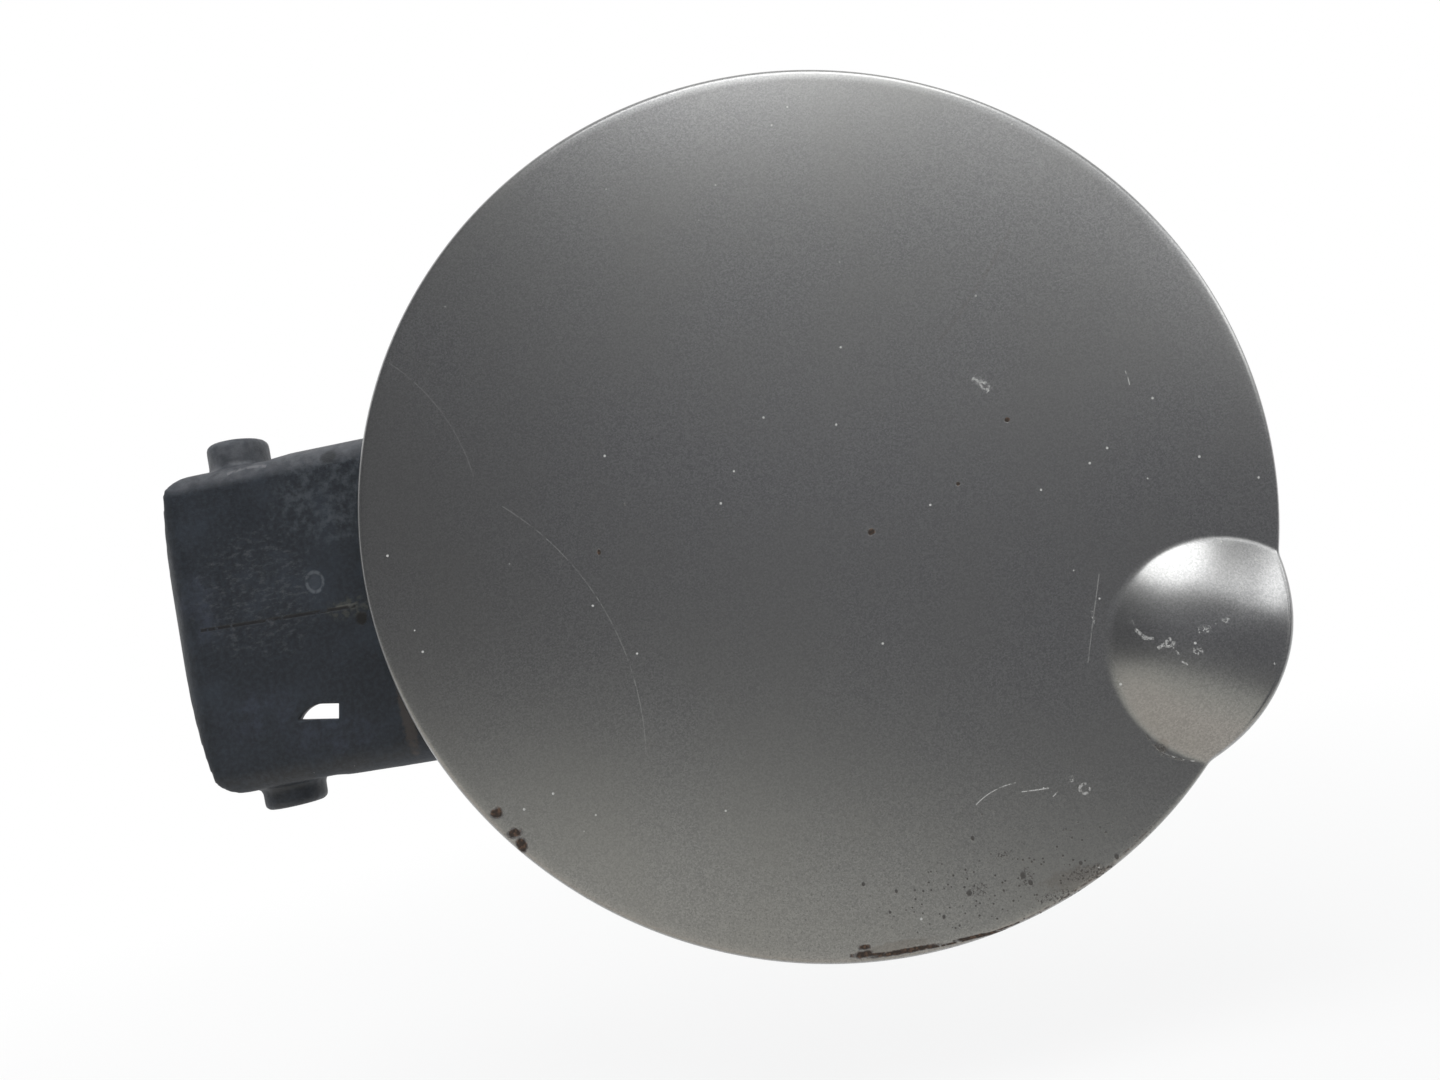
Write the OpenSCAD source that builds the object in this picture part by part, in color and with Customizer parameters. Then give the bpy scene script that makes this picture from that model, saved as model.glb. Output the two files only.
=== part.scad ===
// Round car fuel door: painted steel leaf with a thumb bulge, on a moulded arm with two pivot stubs.
// +Z runs along the hinge axis, the painted face looks to -Y and the leaf lies to +X.
// The origin is the centre of the upper pivot stub.

/* [Door leaf] */
// Short diameter of the leaf, across the bulge direction
leaf_d = 168.4; // [150:1:190]
// Long diameter over short diameter; the long one points at the bulge
leaf_oval = 1.031; // [1:0.001:1.06]
// Radius of the crown of the painted face
crown_r = 1200; // [900:50:2000]
// Thickness of the steel sheet
sheet_t = 0.8; // [0.7:0.05:0.9]
// Distance from the hinge axis to the centre of the leaf
leaf_x = 116.4; // [112:0.2:122]
// Height of the leaf's centre above the middle of the arm
leaf_z = -1; // [-4:0.5:4]
// Distance of the leaf's rim in front of the hinge axis
leaf_front = 25; // [24:0.5:27]

/* [Thumb bulge] */
// Direction of the bulge, below the horizontal
bulge_angle = 31; // [0:1:45]
// Radius of the bulge where it leaves the face
bulge_r = 21; // [18:0.5:23]
// Height of the bulge over the face
bulge_h = 6; // [4:0.5:8]
// How far the bulge stands out past the rim
bulge_lip = 2.7; // [1.5:0.1:3]

/* [Hinge arm] */
// Height of the arm at the hinge
arm_h = 66.5; // [64:0.5:69]
// Length of the arm from the hinge axis
arm_len = 134; // [130:1:138]
// Wall thickness of the moulding
wall = 2.5; // [2:0.1:3]
// Radius of the arm's front edges
edge_r = 6; // [4:0.5:7]
// Thickness of the ribs
rib_t = 2; // [1.6:0.1:2.4]

/* [Pivots] */
// Diameter of the pivot stubs
pivot_d = 12.5; // [11:0.1:13]
// Length of the upper stub
upper_len = 6.4; // [5.5:0.1:8]
// Length of the lower stub
lower_len = 4.8; // [4.2:0.1:6]

/* [Fastenings] */
// Diameter of the arm screws
screw_d = 4.9; // [4:0.1:5]
// Distance between the screws along the arm
screw_dx = 44; // [38:1:48]
// Distance between the screws across the arm
screw_dz = 30; // [26:1:32]

/* [Hidden] */
$fn = 96;

leaf_r = leaf_d / 2;
hem_r = 1.25;
hem_in = leaf_r - hem_r;
crown = crown_r - sqrt(crown_r * crown_r - hem_in * hem_in);
hem_w = 8;
flange_top = -0.9;
flange_bot = flange_top - sheet_t;
pan_back = -6.7;
pan_front = pan_back + sheet_t;
pan_r = 66;

// The bulge is the cap of a ball that stands square on the crowned face
cap_r = (bulge_r * bulge_r + bulge_h * bulge_h) / (2 * bulge_h);
cap_u = leaf_r - 6.3;
cap_tilt = asin(cap_u / crown_r);
face_w = crown - (crown_r - sqrt(crown_r * crown_r - cap_u * cap_u));
lip_u = leaf_r + bulge_lip;
lip_half = leaf_r * sin(14);
lip_sag = lip_u - leaf_r * cos(14);
lip_r = (lip_half * lip_half + lip_sag * lip_sag) / (2 * lip_sag);

// Arm, with z = 0 on its middle line
arm_top = arm_h / 2 - 1;
arm_bot = -arm_h / 2 - 1;
arm_front = -10;
arm_back = 8.5;
arm_left = -16.2;
seat = -leaf_front - pan_back;
upper_z = arm_top;
lower_z = arm_bot;
tip_r = 1.2;
origin_z = upper_z + (upper_len - tip_r) / 2;
screw_x = leaf_x - 46;
screws = [for (i = [0, 1], j = [-1, 1]) [screw_x + i * screw_dx, j * screw_dz / 2 - 1]];
catch_x = leaf_x + 46;
stops = [[leaf_x + 8, leaf_z + 44], [leaf_x + 16, leaf_z - 42]];
holder = [leaf_x - 22, leaf_z - 40];

// Arm frame to object frame
module placed() {
    translate([0, 0, -origin_z]) children();
}

// Leaf frame, face towards +Z, to object frame
module on_leaf() {
    placed() translate([leaf_x, -leaf_front, leaf_z]) rotate([90, 0, 0]) children();
}

// Leaf frame with x pointing at the bulge
module to_bulge() {
    rotate([0, 0, -bulge_angle]) children();
}

// Short cylinder along y, from y0 rearwards, in the arm frame
module along_y(x, z, y0, d, h) {
    translate([x, y0 + h, z]) rotate([90, 0, 0]) cylinder(d = d, h = h, $fn = 48);
}

// What a square corner loses when it is rounded; the corner is at the origin, material at +x +y
module corner_loss(r) {
    difference() {
        translate([-1, -1]) square(r + 1);
        translate([r, r]) circle(r);
    }
}

// Filled form under the painted face, made smaller by d
module face_volume(d) {
    intersection() {
        translate([0, 0, crown - crown_r]) sphere(crown_r - d, $fn = 180);
        translate([0, 0, -6 - d]) cylinder(r = hem_in + 0.02, h = 20, $fn = 180);
    }
}

// Filled form under the bulge, made smaller by d
module bulge_volume(d) {
    intersection() {
        translate([cap_u, 0, face_w]) rotate([0, cap_tilt, 0]) translate([0, 0, bulge_h - cap_r])
            sphere(cap_r - d, $fn = 120);
        translate([lip_u - lip_r, 0, -1.2 - 4 * d]) cylinder(r = lip_r, h = 20, $fn = 120);
        translate([cap_u - bulge_r - 1, -bulge_r - 1, -1.2 - 4 * d]) cube([60, 2 * bulge_r + 2, 20]);
    }
}

// Where hem and inner panel are cut away behind the bulge
module bulge_clearance(extra) {
    translate([cap_u, 0, -9]) cylinder(r = bulge_r + extra, h = 8.2 + 3, $fn = 96);
}

module hem_profile() {
    difference() {
        translate([hem_in, -hem_r]) circle(hem_r, $fn = 48);
        translate([hem_in, -hem_r]) circle(hem_r - sheet_t, $fn = 48);
        translate([hem_in - 4, -hem_r - 2]) square([4, 4]);
    }
    translate([hem_in - hem_w, -2 * hem_r]) square([hem_w + 0.01, sheet_t]);
}

module outer_skin() {
    color([0.42, 0.42, 0.41]) on_leaf() to_bulge() scale([leaf_oval, 1, 1]) {
        difference() {
            union() {
                intersection() {
                    face_volume(0);
                    translate([0, 0, -sheet_t]) cylinder(r = hem_in + 0.02, h = 20, $fn = 180);
                }
                bulge_volume(0);
            }
            face_volume(sheet_t);
            bulge_volume(sheet_t);
        }
        difference() {
            rotate_extrude($fn = 180) hem_profile();
            translate([cap_u, 0, -9]) cylinder(r = bulge_r - 0.6, h = 20, $fn = 96);
        }
    }
}

module panel_profile() {
    polygon([[0, pan_front], [55.2, pan_front], [56.8, pan_front + 1.6], [58.4, pan_front + 1.6],
        [60, pan_front], [pan_r, pan_front], [pan_r + 6, flange_top], [pan_r + 7, flange_top],
        [pan_r + 7, flange_bot], [pan_r + 6.4, flange_bot], [pan_r + 0.4, pan_back], [59.7, pan_back],
        [58.1, pan_back + 1.6], [57.1, pan_back + 1.6], [55.5, pan_back], [0, pan_back]]);
}

module inner_panel() {
    color([0.36, 0.36, 0.36]) difference() {
        on_leaf() to_bulge() difference() {
            union() {
                rotate_extrude($fn = 180) panel_profile();
                translate([0, 0, flange_bot]) linear_extrude(sheet_t) difference() {
                    scale([leaf_oval, 1]) circle(hem_in - 0.1, $fn = 180);
                    circle(pan_r + 6.6, $fn = 180);
                }
            }
            scale([leaf_oval, 1, 1]) bulge_clearance(1.5);
            for (a = [75, 165, 285]) rotate([0, 0, a]) translate([63, 0, -9])
                linear_extrude(8) {
                    translate([-2, -6]) square([4, 12]);
                    for (s = [-6, 6]) translate([0, s]) circle(2, $fn = 32);
                }
        }
        placed() {
            for (p = screws) along_y(p[0], p[1], -leaf_front, screw_d + 0.5, 12);
            for (s = [-11.5, 11.5]) along_y(catch_x, leaf_z + s, -leaf_front, 4, 12);
            for (p = stops) along_y(p[0], p[1], -leaf_front, 8, 12);
            along_y(holder[0], holder[1], -leaf_front, 6, 12);
        }
    }
}

module hem_sealer() {
    color([0.25, 0.25, 0.24]) on_leaf() to_bulge() scale([leaf_oval, 1, 1]) difference() {
        rotate_extrude($fn = 180) translate([hem_in - hem_w - 1.1, flange_bot - 0.7]) square([1.1, 0.7]);
        bulge_clearance(1.5);
    }
}

// The arm's left edge is slightly bowed: its x at a height z, before the corners are rounded
bow_r = 130;
function left_x(z) = arm_left + 0.2 + bow_r - sqrt(bow_r * bow_r - (z - 1.5) * (z - 1.5));

// Arm outline seen from the front, set in by d
module arm_front_outline(d) {
    top_r = edge_r - 0.5;
    bottom_r = edge_r + 0.3;
    difference() {
        intersection() {
            polygon([[-30, arm_bot + d], [12, arm_bot + d], [15, arm_bot - 0.5 + d], [34, arm_bot - 1.4 + d],
                [46, arm_bot + d], [60, arm_bot + 7 + d], [arm_len - d, arm_bot + 9 + d],
                [arm_len - d, arm_top - 8 - d], [60, arm_top - 6 - d], [46, arm_top + 0.6 - d],
                [34, arm_top + 1 - d], [14, arm_top + 1 - d], [8.8, arm_top - d], [-30, arm_top - d]]);
            translate([bow_r + arm_left + 0.2, 1.5]) circle(bow_r - d, $fn = 360);
        }
        translate([left_x(arm_top - top_r) + d, arm_top - d]) mirror([0, 1]) corner_loss(top_r - d);
        translate([left_x(arm_bot + bottom_r) + d, arm_bot + d]) corner_loss(bottom_r - d);
    }
}

// Arm seen along z: front line, ramp up to the seat, and open back
module arm_side(d, back) {
    difference() {
        polygon([[arm_left + d, arm_front + d], [38 - d, arm_front + d], [56, seat + d],
            [arm_len - d, seat + d], [arm_len - d, seat + 9 + back], [72, seat + 10 + back],
            [36, arm_back - 7 + back], [16, arm_back + back], [arm_left + d, arm_back + back]]);
        translate([arm_left + d, arm_front + d]) corner_loss(edge_r - d);
    }
}

// Rounded long front edges of the arm, seen along x
module arm_end_profile(d, lift) {
    difference() {
        translate([arm_bot - 2 + d, arm_front + d - lift]) square([arm_h + 3.6 - 2 * d, 60]);
        translate([arm_bot - 1.4 + d, arm_front + d - lift]) corner_loss(edge_r - d);
        translate([arm_top + 1 - d, arm_front + d - lift]) mirror([1, 0]) corner_loss(edge_r - d);
    }
}

module arm_form(d, back) {
    intersection() {
        translate([0, 30, 0]) rotate([90, 0, 0]) linear_extrude(70) arm_front_outline(d);
        translate([0, 0, -50]) linear_extrude(100) arm_side(d, back);
        union() {
            translate([-40, 0, 0]) rotate([90, 0, 90]) linear_extrude(94) arm_end_profile_yz(d, 0);
            translate([38, 0, 0]) rotate([90, 0, 90]) linear_extrude(100) arm_seat_profile_yz(d);
        }
    }
}

// The same with y across the page and z up, for extrusion along x
module arm_end_profile_yz(d, lift) {
    mirror([1, 0]) rotate(90) arm_end_profile(d, lift);
}

module arm_seat_profile_yz(d) {
    difference() {
        translate([seat + d, arm_bot - 2]) square([60, arm_h + 4]);
        translate([seat + d, arm_top - 6.6 - d]) mirror([0, 1]) corner_loss(3.5 - d);
        translate([seat + d, arm_bot + 7.6 + d]) corner_loss(3.5 - d);
    }
}

// Pivot stub along +z from its shoulder, with a rounded rim
module stub(len) {
    rotate_extrude($fn = 96) {
        translate([0, -3]) square([pivot_d / 2, len - tip_r + 3]);
        translate([0, len - tip_r]) square([pivot_d / 2 - tip_r, tip_r]);
        translate([pivot_d / 2 - tip_r, len - tip_r]) intersection() {
            circle(tip_r, $fn = 32);
            square(tip_r);
        }
    }
}

module arm_ribs() {
    intersection() {
        arm_form(0.4, -2.5);
        union() {
            for (z = [-13, 11]) translate([2, -30, z - rib_t / 2]) cube([arm_len, 50, rib_t]);
            for (x = [38, 58, 82, 102, 126]) translate([x, -30, -50]) cube([rib_t, 50, 100]);
            for (s = [-1, 1]) translate([-rib_t / 2, -30, s > 0 ? arm_top - 12 : arm_bot]) cube([rib_t, 50, 12]);
        }
    }
}

module hinge_arm() {
    color([0.13, 0.14, 0.16]) placed() difference() {
        union() {
            difference() {
                arm_form(0, 0);
                arm_form(wall, 30);
            }
            difference() {
                arm_ribs();
                for (p = screws) along_y(p[0], p[1], seat + wall, 15, 30);
                translate([14, arm_front + wall, -9.5]) cube([26, 30, 19]);
            }
            for (p = screws) along_y(p[0], p[1], seat + wall - 1, 14, 1.8);
            translate([0, 0, upper_z]) stub(upper_len);
            translate([0, 0, lower_z]) mirror([0, 0, 1]) stub(lower_len);
        }
        for (p = screws) along_y(p[0], p[1], seat - 1, screw_d + 0.5, 12);
        arm_window();
        translate([24, 0, -1]) along_y(0, 0, arm_front + wall - 1.8, 3, 12);
        along_y(15.5, 5, arm_front - 1, 4, 1.3);
    }
}

// Slanted slot through the front wall, its upper left corner rounded away
module arm_window() {
    translate([11.6, -4, -21.2]) rotate([90, 10, 0]) linear_extrude(12) intersection() {
        translate([-4, -1.35]) square([8, 2.7]);
        union() {
            translate([0.8, -3.65]) circle(5);
            translate([0.8, -2]) square(4);
        }
    }
}

// Pan-head screw from inside the arm, through seat, panel and nut
module arm_screw(i) {
    p = screws[i];
    head = seat + wall + 0.8;
    color([0.62, 0.6, 0.55]) placed() difference() {
        union() {
            along_y(p[0], p[1], head, 10.5, 1.2);
            along_y(p[0], p[1], head + 1.2, 8.6, 2.2);
            along_y(p[0], p[1], -leaf_front + 1.2, screw_d, head + leaf_front - 1.2 + 0.1);
        }
        translate([p[0], head + 3.4, p[1]]) {
            for (a = [0, 90]) rotate([0, a, 0]) translate([-2.4, -1.8, -0.5]) cube([4.8, 4, 1]);
        }
    }
}

module weld_nut(i) {
    p = screws[i];
    y = -leaf_front - pan_front;
    color([0.5, 0.5, 0.48]) placed() difference() {
        union() {
            translate([p[0], y, p[1]]) rotate([90, 0, 0]) cylinder(r = 5.2, h = 3.8, $fn = 6);
            along_y(p[0], p[1], y - 0.8, 13, 0.8);
        }
        along_y(p[0], p[1], y - 6, screw_d + 0.1, 8);
    }
}

// Bent spring strip: flat foot on the front wall, slope, and rolled end over the axis
spring_foot = [17, arm_front + wall + 3.8];
function on_slope(p) = [spring_foot[0] + p[0] * cos(135) - p[1] * sin(135),
    spring_foot[1] + p[0] * sin(135) + p[1] * cos(135)];
function spring_side(r, roll) = concat([[33, spring_foot[1] - r]],
    [for (a = [270:-9:225]) spring_foot + r * [cos(a), sin(a)]],
    [for (a = [90:-15:-60]) on_slope([11 + roll * cos(a), 1 + roll * sin(a)])]);
function reversed(list) = [for (i = [len(list) - 1:-1:0]) list[i]];

module leaf_spring() {
    color([0.45, 0.46, 0.48]) placed() difference() {
        translate([0, 0, -8]) linear_extrude(14)
            polygon(concat(spring_side(3.8, 2.8), reversed(spring_side(3, 2))));
        along_y(24, -1, arm_front, 3.2, 6);
    }
}

module spring_rivet() {
    y0 = arm_front + wall;
    color([0.6, 0.6, 0.58]) placed() {
        along_y(24, -1, y0 - 1.8, 2.9, 2.8);
        along_y(24, -1, y0 + 0.8, 6.4, 1.4);
    }
}

// Base plate with a standing eye for the lock pin
module lock_catch() {
    color([0.1, 0.1, 0.1]) placed() difference() {
        union() {
            translate([catch_x - 8, seat, leaf_z - 15]) cube([16, 2.4, 30]);
            translate([catch_x - 3, seat, leaf_z]) rotate([90, 0, 90]) linear_extrude(6) {
                translate([0, -6.5]) square([13, 13]);
                translate([13, 0]) circle(6.5, $fn = 64);
            }
            for (s = [-1, 1]) translate([catch_x - 1, seat, leaf_z + s * 6.5])
                rotate([90, 0, 90]) linear_extrude(2) polygon([[0, 0], [0, s * 2], [2.4, s * 2], [9, 0]]);
        }
        translate([catch_x - 9, seat + 13, leaf_z]) rotate([0, 90, 0]) cylinder(d = 7.4, h = 18, $fn = 64);
        for (s = [-11.5, 11.5]) along_y(catch_x, leaf_z + s, seat - 1, 4, 6);
    }
}

module catch_rivet(s) {
    color([0.6, 0.6, 0.58]) placed() {
        along_y(catch_x, leaf_z + s, seat - sheet_t - 1, 3.9, sheet_t + 3.6);
        along_y(catch_x, leaf_z + s, seat + 2.4, 5.6, 1.3);
        along_y(catch_x, leaf_z + s, seat - sheet_t - 1.2, 5.6, 1.2);
    }
}

module bump_stop(i) {
    p = stops[i];
    color([0.08, 0.08, 0.08]) placed() translate([p[0], seat, p[1]]) rotate([-90, 0, 0]) {
        rotate_extrude($fn = 64) polygon([[0, -2.6], [3.6, -2.6], [4.8, -sheet_t - 0.4], [4.8, -sheet_t],
            [3.95, -sheet_t], [3.95, 0], [6.4, 0], [6.4, 1.6], [5, 6.4], [4, 7.2], [0, 7.2]]);
    }
}

// Hook on the panel that takes the tank cap's strap while filling
module cap_holder() {
    color([0.1, 0.1, 0.1]) placed() translate([holder[0], seat, holder[1]]) {
        translate([-9, 0, -6]) cube([18, 2, 12]);
        translate([-9, 0, 0]) linear_extrude(12, center = true) {
            square([2.4, 11]);
            translate([0, 9]) square([11, 2]);
            translate([9, 7.2]) square([2, 3]);
        }
        translate([0, -sheet_t - 2, 0]) rotate([-90, 0, 0]) {
            cylinder(d = 5.9, h = sheet_t + 2.5, $fn = 48);
            cylinder(d1 = 6, d2 = 7.6, h = 2, $fn = 48);
        }
    }
}

outer_skin();
inner_panel();
hem_sealer();
hinge_arm();
arm_screw(0);  // arm_screw_1
arm_screw(1);  // arm_screw_2
arm_screw(2);  // arm_screw_3
arm_screw(3);  // arm_screw_4
weld_nut(0);  // weld_nut_1
weld_nut(1);  // weld_nut_2
weld_nut(2);  // weld_nut_3
weld_nut(3);  // weld_nut_4
leaf_spring();
spring_rivet();
lock_catch();
catch_rivet(-11.5);  // catch_rivet_1
catch_rivet(11.5);  // catch_rivet_2
bump_stop(0);  // bump_stop_1
bump_stop(1);  // bump_stop_2
cap_holder();
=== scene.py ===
import bpy
import bmesh
import math
from mathutils import Matrix, Vector


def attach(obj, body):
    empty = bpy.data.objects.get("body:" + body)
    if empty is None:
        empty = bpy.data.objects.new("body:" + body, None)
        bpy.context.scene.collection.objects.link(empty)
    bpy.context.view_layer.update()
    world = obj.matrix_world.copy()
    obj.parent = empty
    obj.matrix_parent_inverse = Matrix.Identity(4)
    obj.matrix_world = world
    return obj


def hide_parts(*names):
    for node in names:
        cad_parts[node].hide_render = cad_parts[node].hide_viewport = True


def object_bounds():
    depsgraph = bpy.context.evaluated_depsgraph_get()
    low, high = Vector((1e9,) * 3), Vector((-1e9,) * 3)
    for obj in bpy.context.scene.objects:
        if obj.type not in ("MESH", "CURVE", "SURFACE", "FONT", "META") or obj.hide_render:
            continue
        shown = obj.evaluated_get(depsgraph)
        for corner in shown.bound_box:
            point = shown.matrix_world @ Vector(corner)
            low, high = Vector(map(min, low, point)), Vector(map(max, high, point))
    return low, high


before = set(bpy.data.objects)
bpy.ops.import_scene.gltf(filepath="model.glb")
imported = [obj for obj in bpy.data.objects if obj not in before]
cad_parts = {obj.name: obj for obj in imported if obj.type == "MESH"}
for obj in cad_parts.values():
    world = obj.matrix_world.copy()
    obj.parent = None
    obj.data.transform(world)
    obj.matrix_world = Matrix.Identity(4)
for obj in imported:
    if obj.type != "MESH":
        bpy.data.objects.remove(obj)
cad_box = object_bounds()
MM = 0.001
PER_MM = 1000

# Leaf sizes, the same as in the solids, in millimetres
LEAF_X, LEAF_FRONT, LEAF_Z = 116.4, 25.0, -35.85
LEAF_R, OVAL = 84.2, 1.031
HEM_R, SHEET_T, HEM_W = 1.25, 0.8, 8.0
CROWN_R = 1200.0
HEM_IN = LEAF_R - HEM_R
CROWN = CROWN_R - math.sqrt(CROWN_R ** 2 - HEM_IN ** 2)
BULGE_ANGLE = math.radians(31)
BULGE_R, BULGE_H = 21.0, 6.0
CAP_R = (BULGE_R ** 2 + BULGE_H ** 2) / (2 * BULGE_H)
CAP_U = LEAF_R - 6.3
LIP_U = LEAF_R + 2.7
LIP_SPREAD = math.radians(14)
LIP_HALF = LEAF_R * math.sin(LIP_SPREAD)
LIP_SAG = LIP_U - LEAF_R * math.cos(LIP_SPREAD)
LIP_R = (LIP_HALF ** 2 + LIP_SAG ** 2) / (2 * LIP_SAG)

# How finely the leaf is spun and the arm's skin is made
SPIN_STEPS = 360
FACE_RINGS = 60
ARM_VOXEL = 0.00062

# Arm: its middle line below the origin, its slot's place and lean, and the depths of the slot's two blocks
ARM_MIDDLE = 34.85
SLOT_X, SLOT_Z, SLOT_LEAN = 11.6, -21.2, math.radians(10)
PLUG_DEPTH, CUTTER_DEPTH = (-9.9, -7.6), (-14.0, -4.0)
PLUG_GROWTH = 1.1


# Node graph helpers

def put(tree, target, value):
    if isinstance(value, bpy.types.NodeSocket):
        tree.links.new(value, target)
    else:
        target.default_value = value


def math_node(tree, kind, *values):
    n = tree.nodes.new("ShaderNodeMath")
    n.operation = kind
    for i, v in enumerate(values):
        put(tree, n.inputs[i], v)
    return n.outputs[0]


def times(tree, a, b):
    return math_node(tree, "MULTIPLY", a, b)


def plus(tree, a, b):
    return math_node(tree, "ADD", a, b)


def less(tree, a, b):
    return math_node(tree, "SUBTRACT", a, b)


def either(tree, a, b):
    return math_node(tree, "MAXIMUM", a, b)


def vector_node(tree, kind, a, b=(0, 0, 0)):
    n = tree.nodes.new("ShaderNodeVectorMath")
    n.operation = kind
    put(tree, n.inputs[0], a)
    put(tree, n.inputs[1], b)
    return n.outputs["Value"] if kind in ("LENGTH", "DOT_PRODUCT", "DISTANCE") else n.outputs["Vector"]


def scaled(tree, vector, factor):
    n = tree.nodes.new("ShaderNodeVectorMath")
    n.operation = "SCALE"
    put(tree, n.inputs[0], vector)
    put(tree, n.inputs["Scale"], factor)
    return n.outputs["Vector"]


def step(tree, value, low, high, to_low=0.0, to_high=1.0):
    n = tree.nodes.new("ShaderNodeMapRange")
    n.interpolation_type = "SMOOTHSTEP"
    for k, v in (("Value", value), ("From Min", low), ("From Max", high), ("To Min", to_low), ("To Max", to_high)):
        put(tree, n.inputs[k], v)
    return n.outputs["Result"]


def noise(tree, vector, scale, detail=3.0, rough=0.55):
    n = tree.nodes.new("ShaderNodeTexNoise")
    put(tree, n.inputs["Vector"], vector)
    n.inputs["Scale"].default_value = scale
    n.inputs["Detail"].default_value = detail
    n.inputs["Roughness"].default_value = rough
    return n.outputs["Fac"]


def cells(tree, vector, scale):
    """Voronoi cells: each cell's distances and its chance colour, split in channels."""
    n = tree.nodes.new("ShaderNodeTexVoronoi")
    put(tree, n.inputs["Vector"], vector)
    n.inputs["Scale"].default_value = scale
    sep = tree.nodes.new("ShaderNodeSeparateColor")
    tree.links.new(n.outputs["Color"], sep.inputs[0])
    return n.outputs["Distance"], sep.outputs


def mixed(tree, factor, a, b):
    n = tree.nodes.new("ShaderNodeMix")
    n.data_type = "RGBA"
    put(tree, n.inputs[0], factor)
    put(tree, n.inputs[6], a)
    put(tree, n.inputs[7], b)
    return n.outputs[2]


def rgb(r, g, b):
    return (r, g, b, 1.0)


def add_bump(tree, shader, height, strength, distance):
    bump = tree.nodes.new("ShaderNodeBump")
    bump.inputs["Strength"].default_value = strength
    bump.inputs["Distance"].default_value = distance
    put(tree, bump.inputs["Height"], height)
    put(tree, shader.inputs["Normal"], bump.outputs[0])


def object_coords(tree):
    return tree.nodes.new("ShaderNodeTexCoord").outputs["Object"]


def split(tree, vector):
    sep = tree.nodes.new("ShaderNodeSeparateXYZ")
    tree.links.new(vector, sep.inputs[0])
    return sep.outputs


def new_group(name, inputs, outputs):
    g = bpy.data.node_groups.new(name, "ShaderNodeTree")
    for label, kind in inputs:
        g.interface.new_socket(name=label, in_out="INPUT", socket_type=kind)
    for label, kind in outputs:
        g.interface.new_socket(name=label, in_out="OUTPUT", socket_type=kind)
    return g, g.nodes.new("NodeGroupInput"), g.nodes.new("NodeGroupOutput")


def use(tree, group, values):
    n = tree.nodes.new("ShaderNodeGroup")
    n.node_tree = group
    for k, v in values.items():
        put(tree, n.inputs[k], v)
    return n.outputs[0]


NUMBER, VECTOR = "NodeSocketFloat", "NodeSocketVector"


def make_arc_mark():
    """A fine broken line along an arc: centre, radius, middle direction, cosine of half its angle, and width."""
    g, i, o = new_group("arc_mark", (
        ("Position", VECTOR), ("Centre", VECTOR), ("Radius", NUMBER), ("Toward", VECTOR),
        ("Cosine", NUMBER), ("Width", NUMBER)), (("Mask", NUMBER),))
    rel = vector_node(g, "SUBTRACT", i.outputs["Position"], i.outputs["Centre"])
    off = math_node(g, "ABSOLUTE", less(g, vector_node(g, "LENGTH", rel), i.outputs["Radius"]))
    line = step(g, math_node(g, "DIVIDE", off, i.outputs["Width"]), 1.0, 0.35)
    cosine = vector_node(g, "DOT_PRODUCT", vector_node(g, "NORMALIZE", rel), i.outputs["Toward"])
    inside = math_node(g, "GREATER_THAN", cosine, i.outputs["Cosine"])
    broken = step(g, noise(g, i.outputs["Position"], 0.55, 2.0), 0.36, 0.5)
    g.links.new(times(g, times(g, line, inside), broken), o.inputs["Mask"])
    return g


def make_spot():
    """A soft-edged round or oval area."""
    g, i, o = new_group("soft_area", (
        ("Position", VECTOR), ("Centre", VECTOR), ("Size", VECTOR), ("Ragged", NUMBER)), (("Mask", NUMBER),))
    rel = vector_node(g, "DIVIDE", vector_node(g, "SUBTRACT", i.outputs["Position"], i.outputs["Centre"]),
                      i.outputs["Size"])
    rough = times(g, less(g, noise(g, i.outputs["Position"], 0.9, 4.0), 0.5), i.outputs["Ragged"])
    g.links.new(step(g, plus(g, vector_node(g, "LENGTH", rel), rough), 1.0, 0.55), o.inputs["Mask"])
    return g


def make_specks():
    """Scattered small specks: the share of cells that carry one, and their size against the cell."""
    g, i, o = new_group("specks", (
        ("Position", VECTOR), ("Cell", NUMBER), ("Share", NUMBER), ("Size", NUMBER)), (("Mask", NUMBER),))
    distance, chance = cells(g, vector_node(g, "DIVIDE", i.outputs["Position"], i.outputs["Cell"]), 1.0)
    chosen = math_node(g, "LESS_THAN", chance[0], i.outputs["Share"])
    size = times(g, i.outputs["Size"], plus(g, chance[1], 0.35))
    dot = step(g, math_node(g, "DIVIDE", distance, size), 1.0, 0.6)
    g.links.new(times(g, dot, chosen), o.inputs["Mask"])
    return g


ARC, SPOT, SPECKS = make_arc_mark(), make_spot(), make_specks()


def new_material(name):
    m = bpy.data.materials.new(name)
    m.use_nodes = True
    t = m.node_tree
    return m, t, t.nodes["Principled BSDF"]


def millimetres(t, place, scale):
    """Object coordinates in millimetres: the scale first, then the shift."""
    n = t.nodes.new("ShaderNodeMapping")
    n.vector_type = "POINT"
    n.inputs["Location"].default_value = place
    n.inputs["Scale"].default_value = scale
    t.links.new(object_coords(t), n.inputs["Vector"])
    return n.outputs[0]


def leaf_position(t):
    """Position on the leaf in millimetres from its centre, with y nought."""
    return millimetres(t, (-LEAF_X, 0, -LEAF_Z), (PER_MM, 0, PER_MM))


def arm_position(t):
    """Position on the arm in millimetres, z nought on its middle line."""
    return millimetres(t, (0, 0, ARM_MIDDLE), (PER_MM, PER_MM, PER_MM))


def flattened(t, pos):
    return vector_node(t, "MULTIPLY", pos, (1, 0, 1))


def summed(t, masks):
    total = masks[0]
    for m in masks[1:]:
        total = either(t, total, m)
    return total


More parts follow.
